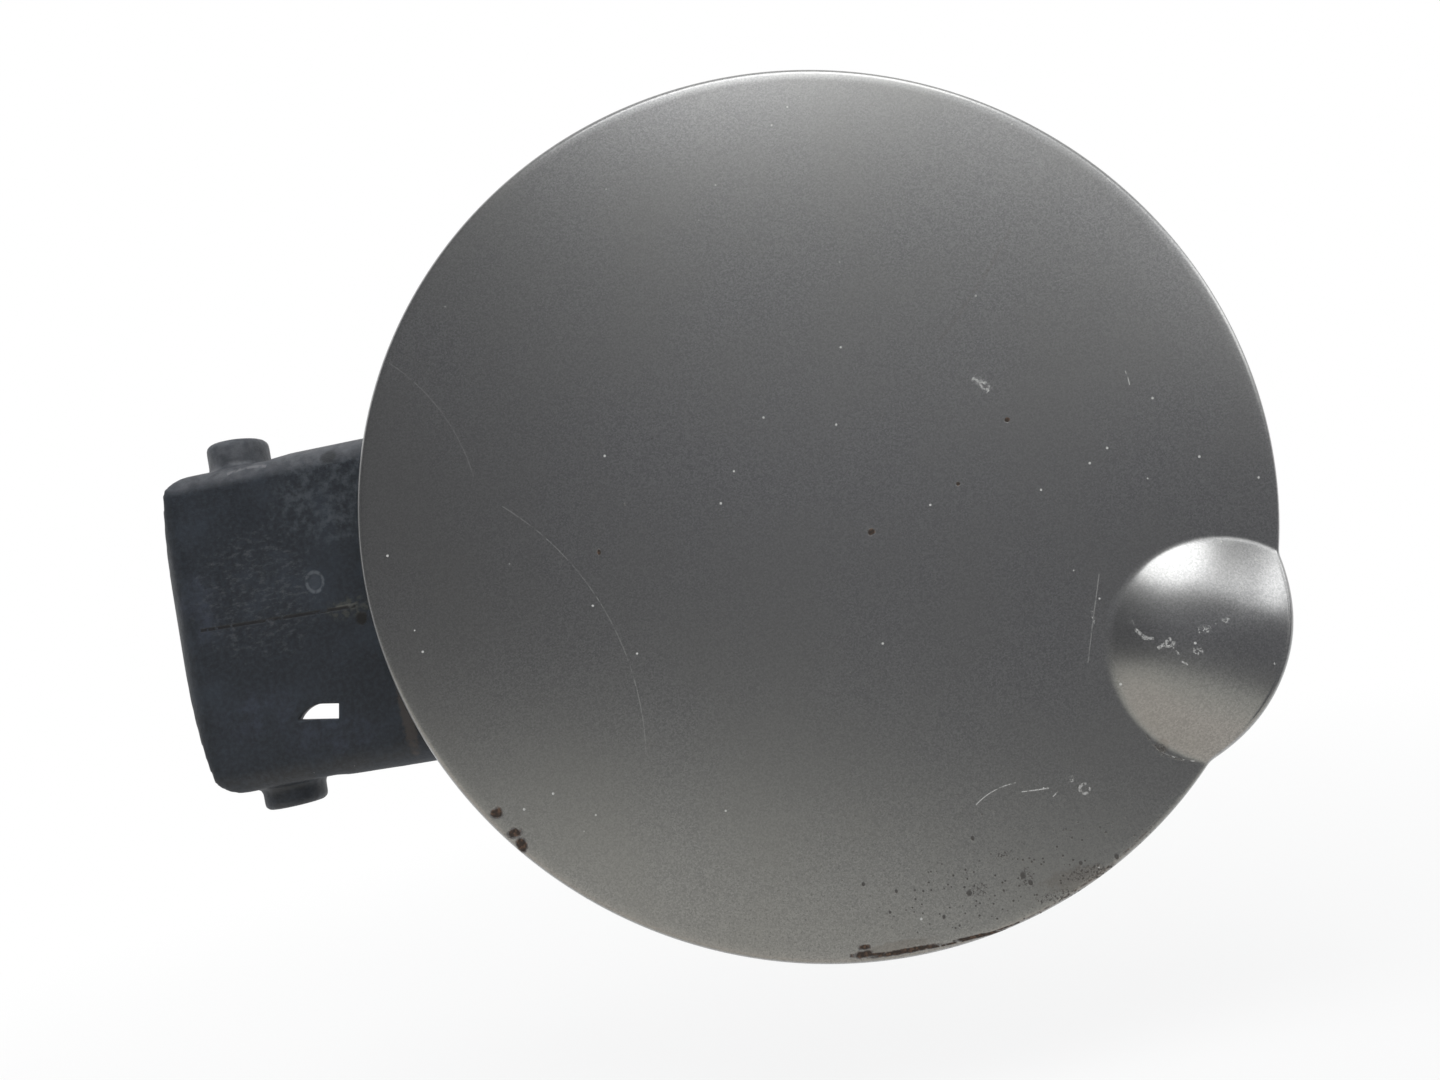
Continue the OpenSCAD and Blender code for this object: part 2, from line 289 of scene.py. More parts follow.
def arc(t, pos, a, b, c, width):
    """Arc mark through three points on the leaf, in millimetres."""
    ax, az, bx, bz, cx, cz = *a, *b, *c
    d = 2 * (ax * (bz - cz) + bx * (cz - az) + cx * (az - bz))
    aa, bb, cc = ax ** 2 + az ** 2, bx ** 2 + bz ** 2, cx ** 2 + cz ** 2
    ux = (aa * (bz - cz) + bb * (cz - az) + cc * (az - bz)) / d
    uz = (aa * (cx - bx) + bb * (ax - cx) + cc * (bx - ax)) / d
    mid = Vector((bx - ux, 0, bz - uz)).normalized()
    ends = [Vector((x - ux, 0, z - uz)).normalized() for x, z in (a, c)]
    return use(t, ARC, {"Position": pos, "Centre": (ux, 0, uz), "Radius": math.hypot(ax - ux, az - uz),
                        "Toward": mid, "Cosine": min(mid.dot(e) for e in ends), "Width": width})


def arcs(t, pos, marks):
    return summed(t, [arc(t, pos, a, b, c, width) for a, b, c, width in marks])


def spot(t, pos, x, z, sx, sz, ragged=0.5):
    return use(t, SPOT, {"Position": pos, "Centre": (x, 0, z), "Size": (sx, 1, sz), "Ragged": ragged})


def spots(t, pos, marks):
    return summed(t, [spot(t, pos, *mark) for mark in marks])


def specks(t, pos, cell, share, size):
    return use(t, SPECKS, {"Position": pos, "Cell": cell, "Share": share, "Size": size})


# Marks in the leaf's paint, in millimetres from the leaf's centre

# An arc is three points and a half width; a spot is x, z, two half sizes and how ragged its edge is
FAINT_SCRATCHES = (
    ((-72.0, 41.1), (-65.3, 31.3), (-61.3, 17.5), 0.07),
    ((-51.5, 5.4), (-41.6, -12.0), (-39.4, -40.2), 0.09),
    ((53.0, 31.7), (56.4, 32.1), (60.0, 32.0), 0.07),
    ((48.8, -23.3), (46.0, -31.0), (43.9, -37.0), 0.16))
CLEAR_SCRATCHES = (
    ((18.0, -59.9), (21.8, -58.0), (25.9, -57.4), 0.12),
    ((26.6, -59.2), (29.1, -59.4), (31.6, -59.5), 0.14),
    ((32.0, -61.2), (32.7, -60.7), (33.4, -60.3), 0.15),
    ((61.9, 12.6), (62.1, 11.2), (62.1, 10.0), 0.11),
    ((43.7, -38.0), (43.0, -39.6), (42.3, -41.2), 0.12),
    ((53.2, -57.2), (55.2, -58.6), (58.6, -60.0), 0.14))
RING_CENTRE, RING_RADIUS = (37.9, 0, -60.9), 0.85
SCUFF = ((34.0, 17.0), (35.3, 15.5), (36.4, 13.9), 1.1)
CHIP_STROKES = (
    ((52.2, -32.6), (52.6, -34.6), (53.9, -36.2), 0.42),
    ((53.0, -35.9), (53.9, -36.3), (54.9, -36.4), 0.4),
    ((55.2, -38.3), (56.4, -37.7), (57.6, -36.9), 0.45),
    ((56.6, -38.2), (57.3, -38.3), (57.9, -37.6), 0.4),
    ((57.6, -38.6), (58.0, -39.3), (58.2, -40.0), 0.25),
    ((58.4, -41.4), (58.9, -41.7), (59.3, -42.2), 0.25),
    ((76.9, -26.3), (77.5, -26.6), (78.2, -27.0), 0.3))
CHIP_SPOTS = (
    (74.4, -44.9, 0.4, 0.4, 0.7), (46.0, -30.6, 0.35, 1.6, 0.7), (67.5, -35.5, 0.9, 0.8, 0.7),
    (63.5, -36.5, 1.6, 0.9, 0.7), (61.5, -40.0, 1.2, 1.0, 0.7), (36.0, -58.6, 0.5, 1.0, 0.7))
RUST_SPOTS = (
    (38.4, 7.9, 0.7, 0.6, 0.6), (27.0, -2.0, 0.5, 0.5, 0.5), (9.5, -7.5, 0.95, 0.85, 0.6),
    (-40.6, -1.1, 0.45, 0.8, 0.5), (-68.8, -44.7, 1.5, 1.3, 0.9), (-66.2, -48.9, 1.9, 1.2, 1.2),
    (-65.3, -51.4, 1.3, 1.9, 1.0), (-7.0, -81.2, 1.3, 0.6, 1.0))
CORRODED_HEM = (
    ((-9.6, -82.3), (-2.0, -83.2), (6.0, -83.5), 0.42),
    ((5.0, -83.6), (13.0, -83.35), (21.5, -82.2), 0.26))
CORRODED_SPOTS = (
    (-7.4, -82.5, 2.2, 0.8, 0.8), (0.0, -83.3, 8.0, 0.6, 0.8), (14.0, -83.2, 6.0, 0.45, 0.9))
DIRTY_RIM = ((20.2, -82.5), (37.0, -76.6), (52.0, -67.4), 0.26)
DIRT_FIELD = ((18.0, -76.0, 24.0, 10.0, 0.8), (36.0, -73.0, 15.0, 8.0, 0.8))
DIRT_CLUSTERS = (
    (15.4, -75.0, 2.4, 1.5, 0.9), (24.4, -74.8, 1.5, 2.4, 0.9), (20.9, -69.9, 1.6, 1.0, 0.9),
    (36.0, -76.0, 6.0, 1.8, 0.9), (30.0, -79.0, 7.0, 1.2, 0.9))
# x, z and half width of the tar drops, which are a little taller than wide
TAR_DROPS = (
    (-4.9, -70.0, 0.4), (16.2, -65.7, 0.45), (34.5, -73.9, 0.4), (41.1, -74.0, 0.5), (13.6, -75.3, 0.6),
    (8.2, -78.6, 0.4), (0.7, -72.4, 0.35), (-1.2, -75.9, 0.3), (23.8, -74.0, 0.7), (24.8, -75.6, 0.5))
DARK_LINE = ((29.5, 25.1), (38.6, 33.8), (47.0, 43.2), 0.5)
BROWN_BLEED = ((34.0, -76.5, 9.0, 2.6, 1.2), (-1.5, -82.2, 8.5, 1.1, 1.0))
LIP_CRACK = ((51.2, -54.0), (53.4, -57.4), (57.8, -59.6), 0.3)


def pale_marks(t, pos):
    """Fine light scratches, the ring and scuff marks, dust and chips down to the primer."""
    off = math_node(t, "ABSOLUTE", less(t, vector_node(t, "DISTANCE", pos, RING_CENTRE), RING_RADIUS))
    ring = times(t, step(t, off, 0.38, 0.12), step(t, noise(t, pos, 1.1, 3.0), 0.4, 0.56))
    scuff = times(t, arc(t, pos, *SCUFF), step(t, noise(t, pos, 1.9, 4.0, 0.7), 0.4, 0.6))
    chips = either(
        t, times(t, arcs(t, pos, CHIP_STROKES), step(t, noise(t, pos, 2.6, 5.0, 0.8), 0.44, 0.54)),
        times(t, spots(t, pos, CHIP_SPOTS), step(t, noise(t, pos, 1.9, 5.0, 0.75), 0.5, 0.58)))
    return summed(t, [
        times(t, arcs(t, pos, FAINT_SCRATCHES), 0.32), times(t, arcs(t, pos, CLEAR_SCRATCHES), 0.85),
        times(t, ring, 0.7), times(t, scuff, 0.75), specks(t, pos, 3.4, 0.4, 0.064), times(t, chips, 0.85)])


def rust_marks(t, pos):
    """Dots on the face, patches on the lower left rim and the corroded hem at the bottom."""
    rim = times(t, arc(t, pos, *DIRTY_RIM), step(t, noise(t, pos, 0.7, 4.0, 0.7), 0.42, 0.56))
    return summed(t, [spots(t, pos, RUST_SPOTS), arcs(t, pos, CORRODED_HEM), spots(t, pos, CORRODED_SPOTS),
                      times(t, rim, 0.6)])


def dirt_marks(t, pos, lower):
    """Tar and dirt specks low on the right, some in clusters, fine pitting, and the crack at the bulge's lip."""
    wide = times(t, spot(t, pos, 14.0, -70.0, 34.0, 16.0, 0.6), specks(t, pos, 2.3, 0.5, 0.085))
    fine = either(t, specks(t, pos, 1.3, 0.4, 0.14), specks(t, pos, 0.75, 0.5, 0.26))
    near = times(t, fine, spots(t, pos, DIRT_FIELD))
    blots = times(t, step(t, noise(t, pos, 2.2, 4.0, 0.7), 0.5, 0.58), spots(t, pos, DIRT_CLUSTERS))
    drops = spots(t, pos, [(x, z, a, a * 1.3, 0.8) for x, z, a in TAR_DROPS])
    stray = times(t, specks(t, pos, 7.0, 0.18, 0.04), 0.6)
    grit = times(t, step(t, noise(t, pos, 1.9, 5.0, 0.8), 0.54, 0.66), times(t, lower, 0.5))
    crack = times(t, step(t, noise(t, pos, 1.3, 4.0, 0.7), 0.44, 0.52),
                  either(t, arc(t, pos, *LIP_CRACK), spot(t, pos, 53.2, -56.9, 0.8, 1.3, 0.8)))
    dirt = times(t, summed(t, [wide, near, blots, drops, stray, grit]), 0.85)
    return either(t, dirt, times(t, crack, 0.8))


def leaf_paint():
    m, t, b = new_material("silver_grey_paint")
    pos = leaf_position(t)
    # metallic flake under a cloudy tone
    flake = cells(t, pos, 4.0)[1][0]
    tone = mixed(t, flake, rgb(0.235, 0.237, 0.24), rgb(0.345, 0.347, 0.345))
    cloud = step(t, noise(t, pos, 0.035, 3.0), 0.3, 0.7)
    tone = mixed(t, cloud, tone, mixed(t, 0.5, tone, rgb(0.3, 0.3, 0.29)))
    # the lower half is pitted all over, finely
    lower = spot(t, pos, 6.0, -78.0, 62.0, 30.0, 0.5)
    pale_grit = times(t, step(t, noise(t, pos, 2.7, 4.0, 0.8), 0.56, 0.68), times(t, lower, 0.16))
    bleed = times(t, summed(t, [spot(t, pos, 53.4, -56.0, 1.6, 1.6, 0.8), times(t, arc(t, pos, *DARK_LINE), 0.5),
                                spots(t, pos, BROWN_BLEED)]), 0.22)
    # marks are on the outer side only
    outer = t.nodes.new("ShaderNodeAttribute")
    outer.attribute_name = "outside"
    light, pale_grit, bleed, dirt, rust = (
        times(t, mask, outer.outputs["Fac"])
        for mask in (pale_marks(t, pos), pale_grit, bleed, dirt_marks(t, pos, lower), rust_marks(t, pos)))
    rust_tone = mixed(t, step(t, noise(t, pos, 1.4, 3.0), 0.45, 0.7), rgb(0.03, 0.021, 0.016), rgb(0.12, 0.07, 0.045))
    colour = mixed(t, either(t, light, pale_grit), tone, rgb(0.55, 0.55, 0.53))
    colour = mixed(t, bleed, colour, rgb(0.16, 0.12, 0.09))
    colour = mixed(t, dirt, colour, rgb(0.035, 0.03, 0.024))
    colour = mixed(t, rust, colour, rust_tone)
    damaged = summed(t, [light, dirt, rust])
    put(t, b.inputs["Base Color"], colour)
    put(t, b.inputs["Metallic"], step(t, damaged, 0.0, 1.0, 0.88, 0.05))
    put(t, b.inputs["Roughness"], step(t, damaged, 0.0, 1.0, 0.28, 0.75))
    b.inputs["Coat Roughness"].default_value = 0.12
    put(t, b.inputs["Coat Weight"], step(t, damaged, 0.0, 0.6, 0.35, 0.0))
    # fine orange peel, raised dirt and sunk rust
    peel = times(t, noise(t, pos, 0.25, 2.0), 0.02)
    height = plus(t, peel, less(t, times(t, dirt, 0.4), times(t, rust, 0.6)))
    add_bump(t, b, height, 0.35, 0.0002)
    return m


def arm_plastic():
    m, t, b = new_material("black_arm_plastic")
    pos = arm_position(t)
    flat = flattened(t, pos)
    grain = noise(t, pos, 1.1, 5.0, 0.62)
    film = noise(t, pos, 0.09, 5.0, 0.6)
    streaks = noise(t, vector_node(t, "MULTIPLY", pos, (0.55, 1.0, 1.1)), 0.9, 6.0, 0.75)
    height_on_arm = split(t, pos)["Z"]

    def area(x, z, half_x, half_z, ragged):
        return spot(t, flat, x, z, half_x, half_z, ragged)

    def over(colour, mask, strength, tone):
        return mixed(t, times(t, mask, strength), colour, rgb(*tone))

    colour = mixed(t, step(t, grain, 0.35, 0.7), rgb(0.01, 0.0135, 0.019), rgb(0.021, 0.027, 0.036))
    colour = over(colour, step(t, film, 0.45, 0.7), 0.4, (0.03, 0.041, 0.058))
    # rubbed grey streaks in the middle, painted bluish sheen patches low down, dust near the leaf, and dust with
    # painted sheen lightening the top flank
    worn = times(t, step(t, streaks, 0.48, 0.66), area(3.0, 5.0, 15.0, 16.0, 1.2))
    # painted sheen: soft bluish lighter patches low on the arm
    low = times(t, step(t, noise(t, pos, 0.3, 6.0, 0.75), 0.42, 0.68), summed(t, [
        area(0.0, -19.0, 10.0, 7.0, 0.8), area(14.0, -26.0, 12.0, 5.0, 0.8), area(-9.0, 4.0, 6.0, 9.0, 0.8)]))
    dusty = times(t, step(t, noise(t, pos, 0.5, 5.0, 0.65), 0.42, 0.66), area(22.0, 22.0, 15.0, 12.0, 1.0))
    # painted sheen with dust: the top flank is lightened by its height on the arm, where light falls on it
    top = times(t, step(t, height_on_arm, 27.6, 30.5), step(t, noise(t, pos, 0.4, 5.0, 0.6), 0.3, 0.7, 0.35, 1.0))
    colour = over(colour, worn, 0.55, (0.085, 0.09, 0.097))
    # the bluish patches low down are painted sheen
    colour = over(colour, low, 0.45, (0.042, 0.05, 0.078))
    colour = over(colour, dusty, 0.55, (0.08, 0.092, 0.105))
    # the top flank's lighter tone is painted sheen together with dust
    colour = over(colour, top, 0.75, (0.125, 0.13, 0.142))
    # painted shade of the small dent in the top flank
    colour = over(colour, area(22.4, 29.9, 2.2, 1.7, 0.6), 0.85, (0.016, 0.018, 0.021))
    # painted highlight on the ejector mark's rim, painted bluish sheen inside it, and a painted highlight line under
    # the stub
    ring = vector_node(t, "DIVIDE", vector_node(t, "SUBTRACT", flat, (15.4, 0, 5.0)), (1.9, 1, 2.3))
    off = math_node(t, "ABSOLUTE", less(t, vector_node(t, "LENGTH", ring), 0.88))
    mark = times(t, step(t, off, 0.24, 0.06), step(t, noise(t, pos, 0.8, 3.0), 0.3, 0.6))
    # painted highlight: a pale arc under the stub
    painted_highlight_line = use(t, ARC, {"Position": flat, "Centre": (5.0, 0, 16.0), "Radius": 15.2, "Toward": (0.0, 0, 1.0),
                          "Cosine": 0.962, "Width": 0.45})
    # painted highlight: the pale ring round the ejector mark
    colour = over(colour, mark, 0.6, (0.13, 0.145, 0.16))
    # painted sheen: bluish lighter tone inside the ejector mark
    colour = over(colour, area(15.4, 5.0, 1.5, 1.9, 0.3), 0.5, (0.05, 0.06, 0.075))
    colour = over(colour, painted_highlight_line, 0.55, (0.22, 0.22, 0.23))
    # mould line that has cracked, dirtier towards the leaf, the hole beside it painted near-black as shade, and a
    # brown stain at the leaf
    seam = times(t, use(t, ARC, {
        "Position": flat, "Centre": (100.0, 0, 2300.0), "Radius": 2302.76, "Toward": (-0.0405, 0, -0.99918),
        "Cosine": 0.999976, "Width": 0.5}), 0.85)
    moss = times(t, area(21.5, -1.6, 6.0, 2.6, 1.0), step(t, noise(t, pos, 0.9, 4.0), 0.42, 0.6))
    painted_hole_shade = area(23.6, -4.2, 1.5, 1.7, 0.9)
    colour = over(colour, area(29.4, -23.0, 1.8, 13.0, 1.0), 0.38, (0.1, 0.075, 0.055))
    colour = over(colour, moss, 0.45, (0.08, 0.08, 0.062))
    colour = over(colour, area(20.6, -1.0, 3.2, 0.35, 1.0), 0.4, (0.15, 0.15, 0.13))
    # painted shade: the hole's dark inside
    colour = mixed(t, painted_hole_shade, colour, rgb(0.008, 0.008, 0.008))
    colour = mixed(t, seam, colour, rgb(0.005, 0.005, 0.006))
    colour = over(colour, specks(t, pos, 2.6, 0.4, 0.06), 0.5, (0.2, 0.21, 0.225))
    put(t, b.inputs["Base Color"], colour)
    put(t, b.inputs["Roughness"], step(t, film, 0.3, 0.7, 0.45, 0.62))
    rough_skin = plus(t, times(t, grain, 0.4), times(t, streaks, 0.5))
    add_bump(t, b, less(t, rough_skin, plus(t, seam, painted_hole_shade)), 0.5, 0.0004)
    return m


def plain_finish(name, low, high, metallic, rough, scale):
    """A finish with mottled colour between two tones, slight roughness changes and a fine grain."""
    m, t, b = new_material(name)
    pos = arm_position(t)
    grain = noise(t, pos, scale, 4.0, 0.6)
    put(t, b.inputs["Base Color"], mixed(t, step(t, grain, 0.3, 0.7), rgb(*low), rgb(*high)))
    b.inputs["Metallic"].default_value = metallic
    put(t, b.inputs["Roughness"], step(t, noise(t, pos, scale * 0.3, 3.0), 0.3, 0.7, rough - 0.08, rough + 0.1))
    add_bump(t, b, grain, 0.3, 0.0002)
    return m


def panel_coat():
    m, t, b = new_material("inner_panel_coat")
    pos = leaf_position(t)
    flake = noise(t, pos, 2.6, 3.0, 0.7)
    film = noise(t, pos, 0.06, 5.0, 0.6)
    colour = mixed(t, step(t, flake, 0.3, 0.7), rgb(0.2, 0.2, 0.198), rgb(0.28, 0.28, 0.275))
    dirt = times(t, step(t, film, 0.5, 0.72), 0.55)
    rust = times(t, spot(t, pos, 7.0, -80.0, 24.0, 5.0, 1.2), step(t, noise(t, pos, 0.5, 4.0), 0.45, 0.6))
    colour = mixed(t, dirt, colour, rgb(0.1, 0.085, 0.065))
    colour = mixed(t, rust, colour, rgb(0.13, 0.06, 0.03))
    put(t, b.inputs["Base Color"], colour)
    put(t, b.inputs["Metallic"], step(t, either(t, dirt, rust), 0.0, 0.6, 0.6, 0.0))
    put(t, b.inputs["Roughness"], step(t, film, 0.3, 0.75, 0.45, 0.75))
    add_bump(t, b, flake, 0.3, 0.0002)
    return m


# The leaf: a spun sheet with a folded hem, raised into the bulge

def clamped(value):
    return max(0.0, min(1.0, value))


def cap_height(u, v):
    """Height of the ball cap over the rim plane, in leaf millimetres with u towards the bulge."""
    tilt = math.asin(CAP_U / CROWN_R)
    face = CROWN - (CROWN_R - math.sqrt(CROWN_R ** 2 - CAP_U ** 2))
    cu = CAP_U - (CAP_R - BULGE_H) * math.sin(tilt)
    cw = face - (CAP_R - BULGE_H) * math.cos(tilt)
    d = math.hypot(u - cu, v)
    well_below, past_the_cap = -40.0, 0.84
    if d > CAP_R * past_the_cap:
        return well_below
    # the bulge is a little longer towards the middle of the leaf
    d /= 1 + 0.06 * max(0.0, (cu - u) / max(d, 0.01)) ** 2
    # the flanks fall a little more steeply than a ball's, most of all the upper one
    upper = 0.5 + 0.5 * (v * math.cos(BULGE_ANGLE) - (u - cu) * math.sin(BULGE_ANGLE)) / max(d, 0.01)
    start, end = 0.62 - 0.3 * upper, 1.0 - 0.1 * upper
    fall = clamped((d / BULGE_R - start) / (end - start))
    return cw + math.sqrt(CAP_R ** 2 - d * d) - (0.42 + 0.2 * upper) * fall * fall * (3 - 2 * fall)


def face_height(u, v):
    return CROWN - (u * u + v * v) / (2 * CROWN_R)


def blended_max(a, b, k):
    h = max(k - abs(a - b), 0.0) / k
    return max(a, b) + h * h * k / 4


def raised(u, v):
    """How much the bulge lifts the face at a point; its edge is crisper at the upper right."""
    base = face_height(u, v)
    soft = 0.3 + 0.3 * clamped((LEAF_R - 14 - u - v * 0.9) / 16)
    return blended_max(base, cap_height(u, v), soft) - base


def rim_radius(angle):
    """Outer radius of the leaf in a direction, with the bulge's lip."""
    c = LIP_U - LIP_R
    s = LIP_R ** 2 - (c * math.sin(angle)) ** 2
    if s <= 0 or abs(angle) > math.radians(25):
        return LEAF_R
    return blended_max(LEAF_R, c * math.cos(angle) + math.sqrt(s), 0.25)


def in_leaf_place(bm):
    """From leaf millimetres, face up and x towards the bulge, to the frame."""
    m = (Matrix.Scale(MM, 4) @ Matrix.Translation((LEAF_X, -LEAF_FRONT, LEAF_Z))
         @ Matrix.Rotation(math.pi / 2, 4, "X") @ Matrix.Rotation(-BULGE_ANGLE, 4, "Z")
         @ Matrix.Diagonal((OVAL, 1, 1, 1)))
    bmesh.ops.transform(bm, matrix=m, verts=bm.verts)


def spun(points, steps):
    """A profile of (radius, height) points spun once round the z axis."""
    bm = bmesh.new()
    verts = [bm.verts.new((r, 0, w)) for r, w in points]
    edges = [bm.edges.new(p) for p in zip(verts, verts[1:])]
    bmesh.ops.spin(bm, geom=verts + edges, cent=(0, 0, 0), axis=(0, 0, 1), angle=2 * math.pi, steps=steps,
                   use_merge=True)
    bmesh.ops.remove_doubles(bm, verts=bm.verts, dist=1e-4)
    return bm


def as_object(bm, name, material, smooth=True):
    bmesh.ops.recalc_face_normals(bm, faces=bm.faces)
    mesh = bpy.data.meshes.new(name)
    bm.to_mesh(mesh)
    bm.free()
    for p in mesh.polygons:
        p.use_smooth = smooth
    if material:
        mesh.materials.append(material)
    ob = bpy.data.objects.new(name, mesh)
    bpy.context.scene.collection.objects.link(ob)
    return ob


def leaf_section():
    """The sheet's section from the middle of the face round the hem and back to the middle underneath."""
    rings = [HEM_IN * (i / FACE_RINGS) for i in range(FACE_RINGS + 1)]
    top = [(r, 0.0) for r in rings]
    round_edge = [(HEM_IN + HEM_R * math.sin(a), -HEM_R + HEM_R * math.cos(a))
                  for a in (math.pi * i / 10 for i in range(1, 11))]
    inner = HEM_R - SHEET_T
    back = [(HEM_IN - HEM_W, -2 * HEM_R), (HEM_IN - HEM_W, -2 * HEM_R + SHEET_T)]
    fold = [(HEM_IN + inner * math.sin(a), -HEM_R - inner * math.cos(a)) for a in (math.pi * i / 4 for i in range(5))]
    under = [(r, -SHEET_T) for r in reversed(rings[:-1])]
    return top + round_edge + back + fold + under


def leaf_skin(material):
    bm = spun(leaf_section(), SPIN_STEPS)
    near_bulge = BULGE_R + 6
    near = [f for f in bm.faces if (f.calc_center_median() - Vector((CAP_U, 0, 0))).length < near_bulge]
    edges = {e for f in near for e in f.edges}
    bmesh.ops.subdivide_edges(bm, edges=list(edges), cuts=3, use_grid_fill=True)
    # the paint's marks are on the outer side only
    outside = bm.verts.layers.float.new("outside")
    lip_from, lip_width = 62, 20
    for v in bm.verts:
        r = math.hypot(v.co.x, v.co.y)
        top_side = v.co.z > -0.01 or r > HEM_IN + 0.2
        angle = math.atan2(v.co.y, v.co.x)
        grow = 1 + (rim_radius(angle) / LEAF_R - 1) * clamped((r - lip_from) / lip_width)
        v.co.x *= grow
        v.co.y *= grow
        u, y = v.co.x, v.co.y
        on_face = v.co.z > -SHEET_T - 1e-3 and r <= HEM_IN + 1e-3
        v.co.z += raised(u, y) + (face_height(u, y) if on_face else 0.0)
        v[outside] = 1.0 if top_side else 0.0
    in_leaf_place(bm)
    return as_object(bm, "leaf_skin", material)


def slot_outline():
    """The arm's slot seen from the front, in millimetres round its middle: flat below, rounded at the upper left."""
    cx, cz, radius, first, sweep, parts = 0.8, -3.65, 5.5, 24.7, 65.3, 12
    rounded = [(cx - radius * math.cos(a), cz + radius * math.sin(a))
               for a in (math.radians(first + sweep * i / parts) for i in range(parts + 1))]
    return [(4.2, 1.85), (4.2, -1.35)] + rounded


def slot_block(name, depth, grow):
    """A block through the front wall at the slot."""
    bm = bmesh.new()
    face = bm.faces.new([bm.verts.new((x * grow, 0, z * grow)) for x, z in slot_outline()])
    new = bmesh.ops.extrude_face_region(bm, geom=[face])["geom"]
    far_end = [v for v in new if isinstance(v, bmesh.types.BMVert)]
    bmesh.ops.translate(bm, verts=far_end, vec=(0, depth[1] - depth[0], 0))
    place = (Matrix.Scale(MM, 4) @ Matrix.Translation((SLOT_X, depth[0], SLOT_Z - ARM_MIDDLE))
             @ Matrix.Rotation(SLOT_LEAN, 4, "Y"))
    bmesh.ops.transform(bm, matrix=place, verts=bm.verts)
    return as_object(bm, name, None, smooth=False)


def moulded_copy(node, name, material, voxel):
    """The node's solid as one skin with slightly rounded moulded edges, its slot filled and cut again sharply."""
    bm = bmesh.new()
    bm.from_mesh(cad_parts[node].data)
    bmesh.ops.remove_doubles(bm, verts=bm.verts, dist=1e-6)
    plug = slot_block("slot_plug", PLUG_DEPTH, PLUG_GROWTH)
    bm.from_mesh(plug.data)
    bpy.data.objects.remove(plug)
    ob = as_object(bm, name, material)
    rem = ob.modifiers.new("skin", "REMESH")
    rem.mode = "VOXEL"
    rem.voxel_size = voxel
    sm = ob.modifiers.new("soften", "SMOOTH")
    sm.factor = 0.5
    sm.iterations = 4
    cutter = slot_block("slot_cutter", CUTTER_DEPTH, 1.0)
    cut = ob.modifiers.new("slot", "BOOLEAN")
    cut.operation = "DIFFERENCE"
    cut.object = cutter
    graph = bpy.context.evaluated_depsgraph_get()
    mesh = bpy.data.meshes.new_from_object(ob.evaluated_get(graph))
    ob.modifiers.clear()
    bpy.data.objects.remove(cutter)
    ob.data = mesh
    mesh.materials.clear()
    mesh.materials.append(material)
    for p in mesh.polygons:
        p.use_smooth = True
    return ob


skin = leaf_skin(leaf_paint())
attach(skin, "root")
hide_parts("outer_skin")

arm = moulded_copy("hinge_arm", "arm_moulding", arm_plastic(), ARM_VOXEL)
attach(arm, "root")
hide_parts("hinge_arm")

zinc = plain_finish("zinc_plate", (0.4, 0.38, 0.33), (0.6, 0.57, 0.5), 0.9, 0.38, 1.2)
spring_steel = plain_finish("spring_steel", (0.2, 0.21, 0.23), (0.34, 0.35, 0.37), 0.9, 0.35, 0.8)
rubber = plain_finish("buffer_rubber", (0.015, 0.015, 0.015), (0.03, 0.03, 0.03), 0.0, 0.75, 1.5)
black = plain_finish("catch_plastic", (0.018, 0.018, 0.02), (0.034, 0.034, 0.036), 0.0, 0.5, 1.5)
sealer = plain_finish("hem_sealer", (0.14, 0.14, 0.13), (0.22, 0.22, 0.2), 0.0, 0.7, 0.5)
finishes = {"inner_panel": panel_coat(), "hem_sealer": sealer, "leaf_spring": spring_steel, "lock_catch": black,
            "cap_holder": black, "bump_stop_1": rubber, "bump_stop_2": rubber}
for name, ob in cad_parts.items():
    if name in ("outer_skin", "hinge_arm"):
        continue
    finish = finishes.get(name, zinc)
    for s in ob.material_slots:
        s.material = finish


# Floor, light and camera

# Tones of the grey surround from straight down (0) over eye level (0.5) to straight up (1)
SURROUND = (
    (0.0, (0.85, 0.79, 0.7)), (0.15, (0.92, 0.85, 0.77)), (0.25, (0.86, 0.83, 0.75)), (0.31, (0.74, 0.74, 0.68)),
    (0.34, (0.6, 0.6, 0.56)), (0.37, (0.34, 0.34, 0.33)), (0.4, (0.2, 0.2, 0.205)), (0.5, (0.18, 0.18, 0.195)),
    (0.56, (0.235, 0.235, 0.255)), (0.61, (0.29, 0.29, 0.305)), (0.66, (0.3, 0.3, 0.31)), (0.7, (0.31, 0.31, 0.32)),
    (0.74, (0.32, 0.32, 0.32)), (0.78, (0.37, 0.37, 0.37)), (0.86, (0.8, 0.8, 0.8)))
# Brighter panels, a wide one high in front and three that go down on the right: x and z of the direction to
# the middle, two half sizes and the strength
PANELS = ((0.18, 0.745, 0.36, 0.15, 4.0), (0.53, 0.51, 0.2, 0.1, 1.1), (0.76, 0.33, 0.24, 0.18, 1.1),
          (0.88, 0.28, 0.1, 0.14, 1.8))
FILL_COLOUR, FILL_STRENGTH = (0.95, 0.97, 1.0, 1), 0.6
WHITE = rgb(1, 1, 1)


def seen_rays(t, path):
    """One for rays that show the background: straight from the camera, reflected or through glass."""
    return either(t, path.outputs["Is Camera Ray"],
                  either(t, path.outputs["Is Glossy Ray"], path.outputs["Is Transmission Ray"]))


def mix_shaders(t, factor, first, second, target):
    mix = t.nodes.new("ShaderNodeMixShader")
    put(t, mix.inputs[0], factor)
    t.links.new(first, mix.inputs[1])
    t.links.new(second, mix.inputs[2])
    t.links.new(mix.outputs[0], target)


